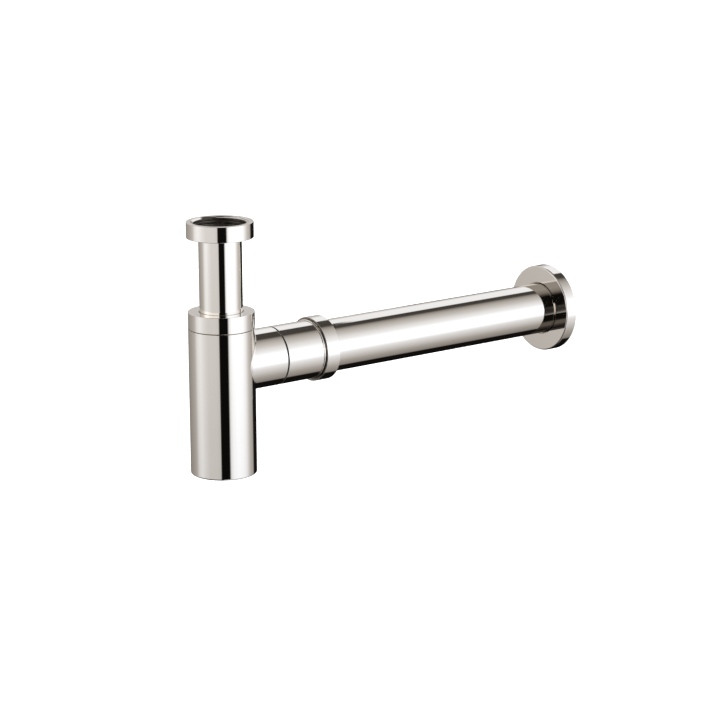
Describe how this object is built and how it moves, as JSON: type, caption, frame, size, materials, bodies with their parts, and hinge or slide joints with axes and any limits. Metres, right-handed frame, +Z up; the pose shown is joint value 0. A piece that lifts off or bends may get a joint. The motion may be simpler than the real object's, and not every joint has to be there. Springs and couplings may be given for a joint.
{
  "type": "bottle trap",
  "caption": "Polished nickel bottle trap for a basin waste, with a compression-jointed straight outlet pipe and a round wall flange.",
  "frame": {"origin": "on the inlet axis, on the top face of the union gasket, where the basin waste seats", "axes": "+Z up the inlet axis out of the union nut, +Y along the outlet pipe towards the wall, +X to the right of the outlet seen from the bottle's front"},
  "size_m": [0.0688, 0.3504, 0.1895],
  "materials": {
    "polished_nickel": "mirror polished, slightly warm",
    "turned_brass": "fine turned",
    "black_rubber": "matt",
    "white_nylon": "satin",
    "grey_polypropylene": "satin"
  },
  "bodies": {
    "bottle": {"bottle_shell": "polished_nickel", "bottle_base": "polished_nickel", "neck_ring": "turned_brass", "branch_stub": "polished_nickel", "branch_gasket": "black_rubber", "dip_gasket": "black_rubber", "dip_tube": "grey_polypropylene", "cap_seal": "black_rubber"},
    "inlet": {"inlet_tube": "polished_nickel", "union_gasket": "black_rubber"},
    "union_washer": {"union_slip_ring": "white_nylon"},
    "union": {"union_nut": "polished_nickel"},
    "cap_washer": {"cap_friction_ring": "white_nylon"},
    "cap": {"cap_nut": "polished_nickel"},
    "sleeve": {"outlet_sleeve": "polished_nickel", "branch_o_ring": "black_rubber", "outlet_seal": "black_rubber"},
    "outlet_washer": {"outlet_friction_ring": "white_nylon"},
    "outlet_cap": {"outlet_nut": "polished_nickel"},
    "pipe": {"outlet_pipe": "polished_nickel"},
    "flange_grip": {"flange_o_ring": "black_rubber"},
    "flange": {"wall_flange": "polished_nickel"}
  },
  "joints": [
    {"name": "inlet_height", "type": "slide", "parent": "bottle", "child": "inlet", "axis": [0, 0, 1], "range_m": [-0.025, 0.015]},
    {"name": "union_drop", "type": "slide", "parent": "inlet", "child": "union_washer", "axis": [0, 0, 1], "range_m": [-0.022, 0]},
    {"name": "union_spin", "type": "hinge", "parent": "union_washer", "child": "union", "pos_m": [0, 0, 0], "axis": [0, 0, 1], "continuous": true},
    {"name": "cap_lift", "type": "slide", "parent": "bottle", "child": "cap_washer", "axis": [0, 0, 1], "range_m": [0, 0.006]},
    {"name": "cap_screw", "type": "hinge", "parent": "cap_washer", "child": "cap", "pos_m": [0, 0, -0.066], "axis": [0, 0, 1], "range_deg": [0, 1080]},
    {"name": "sleeve_swivel", "type": "hinge", "parent": "bottle", "child": "sleeve", "pos_m": [0, 0.0448, -0.10045], "axis": [0, 1, 0], "continuous": true},
    {"name": "outlet_lift", "type": "slide", "parent": "sleeve", "child": "outlet_washer", "axis": [0, 1, 0], "range_m": [0, 0.006]},
    {"name": "outlet_screw", "type": "hinge", "parent": "outlet_washer", "child": "outlet_cap", "pos_m": [0, 0.0847, -0.10045], "axis": [0, 1, 0], "range_deg": [0, 1080]},
    {"name": "pipe_reach", "type": "slide", "parent": "sleeve", "child": "pipe", "axis": [0, 1, 0], "range_m": [-0.0155, 0.01]},
    {"name": "flange_slide", "type": "slide", "parent": "pipe", "child": "flange_grip", "axis": [0, 1, 0], "range_m": [-0.185, 0]},
    {"name": "flange_spin", "type": "hinge", "parent": "flange_grip", "child": "flange", "pos_m": [0, 0.3127, -0.10045], "axis": [0, 1, 0], "continuous": true}
  ],
  "couplings": [
    {"joint": "cap_lift", "follows": "cap_screw", "m_per_rad": 0.0003183},
    {"joint": "outlet_lift", "follows": "outlet_screw", "m_per_rad": 0.0003183}
  ]
}
